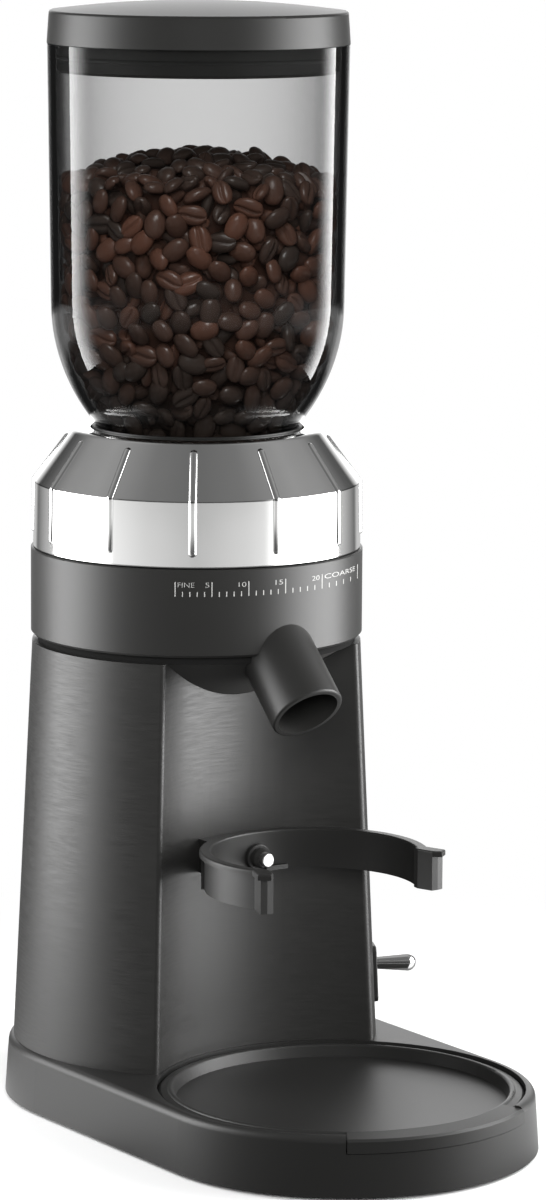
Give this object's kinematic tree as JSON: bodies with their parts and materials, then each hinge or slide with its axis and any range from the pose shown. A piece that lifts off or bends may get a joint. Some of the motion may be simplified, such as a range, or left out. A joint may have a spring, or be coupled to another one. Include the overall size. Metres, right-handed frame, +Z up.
{
  "type": "burr coffee grinder",
  "caption": "Upright burr coffee grinder: glass bean hopper, chromed grind ring over a scale collar, slanted spout, portafilter fork with push button, toggle switch, lift-out tray.",
  "frame": {"origin": "on the floor, in the middle of the base", "axes": "+Z up, -Y towards the front where the tray is, +X towards the toggle switch"},
  "size_m": [0.1569, 0.2575, 0.4378],
  "materials": {
    "black_metal": "black satin coat over brushed metal",
    "black_casting": "black satin coat on a light casting",
    "black_plastic": "satin moulded",
    "liner_plastic": "matt moulded",
    "chrome": "polished",
    "polished_steel": "polished",
    "burr_steel": "ground",
    "motor_steel": "plain sheet",
    "bronze": "sintered",
    "gear_nylon": "moulded",
    "clear_glass": "clear, thick walled",
    "rubber": "matt",
    "board": "lacquered"
  },
  "bodies": {
    "body": {"base_cover": "black_plastic", "base_housing": "black_plastic", "button_bush": "black_plastic", "button_spring": "polished_steel", "column_screws": "polished_steel", "column_shell": "black_metal", "control_board": "board", "cord_gland": "rubber", "cover_screws": "polished_steel", "fork": "black_plastic", "fork_screws": "polished_steel", "gear_case": "black_casting", "grind_housing": "black_casting", "housing_screws": "polished_steel", "lower_bush": "bronze", "microswitch": "black_plastic", "middle_bearing": "polished_steel", "motor_bushes": "bronze", "motor_can": "motor_steel", "motor_cap": "motor_steel", "motor_screws": "polished_steel", "motor_stator": "motor_steel", "rubber_feet": "rubber", "scale_collar": "black_metal", "shaft_seal": "rubber", "spout": "black_plastic", "switch_bracket": "polished_steel", "toggle_body": "black_plastic", "toggle_nut": "polished_steel", "toggle_plate": "black_plastic", "upper_bearing": "polished_steel"},
    "tray": {"grounds_tray": "black_plastic"},
    "ring": {"grind_ring": "chrome", "ring_liner": "liner_plastic"},
    "carrier": {"burr_carrier": "liner_plastic", "ring_burr": "burr_steel", "burr_screws": "polished_steel"},
    "hopper": {"hopper_glass": "clear_glass", "hopper_neck_ring": "black_plastic", "hopper_seal": "rubber"},
    "lid": {"lid_cap": "black_plastic", "lid_plug": "black_plastic", "lid_seal": "rubber"},
    "drive": {"drive_shaft": "polished_steel", "drive_gear": "gear_nylon", "sweeper": "liner_plastic", "cone_burr": "burr_steel", "burr_nut": "polished_steel"},
    "motor_spindle": {"motor_rotor": "motor_steel", "motor_shaft": "polished_steel", "motor_pinion": "bronze"},
    "toggle": {"toggle_lever": "chrome"},
    "button": {"button_plunger": "black_plastic", "button_tip": "polished_steel"}
  },
  "joints": [
    {"name": "tray_lift", "type": "slide", "parent": "body", "child": "tray", "axis": [0, 0, 1], "range_m": [0, 0.05]},
    {"name": "ring_turn", "type": "hinge", "parent": "body", "child": "ring", "pos_m": [0, 0.052, 0], "axis": [0, 0, 1], "range_deg": [-33, 42]},
    {"name": "carrier_thread", "type": "slide", "parent": "ring", "child": "carrier", "axis": [0, 0, 1], "range_m": [-0.0002, 0.0002]},
    {"name": "hopper_lift", "type": "slide", "parent": "ring", "child": "hopper", "axis": [0, 0, 1], "range_m": [0, 0.06]},
    {"name": "lid_lift", "type": "slide", "parent": "hopper", "child": "lid", "axis": [0, 0, 1], "range_m": [0, 0.04]},
    {"name": "drive_turn", "type": "hinge", "parent": "body", "child": "drive", "pos_m": [0, 0.052, 0], "axis": [0, 0, 1], "continuous": true},
    {"name": "spindle_turn", "type": "hinge", "parent": "body", "child": "motor_spindle", "pos_m": [0, 0.08, 0], "axis": [0, 0, 1], "continuous": true},
    {"name": "toggle_tilt", "type": "hinge", "parent": "body", "child": "toggle", "pos_m": [0.06014, 0.02136, 0.0508], "axis": [-0.454, -0.891, 0], "range_deg": [-8, 8]},
    {"name": "button_press", "type": "slide", "parent": "body", "child": "button", "axis": [0, 1, 0], "range_m": [0, 0.003], "stiffness_N_per_m": 400, "springref_m": -0.003, "deforming": ["button_spring"]}
  ],
  "couplings": [
    {"joint": "carrier_thread", "follows": "ring_turn", "m_per_rad": 0.00023873},
    {"joint": "spindle_turn", "follows": "drive_turn", "ratio": -3.6667}
  ]
}
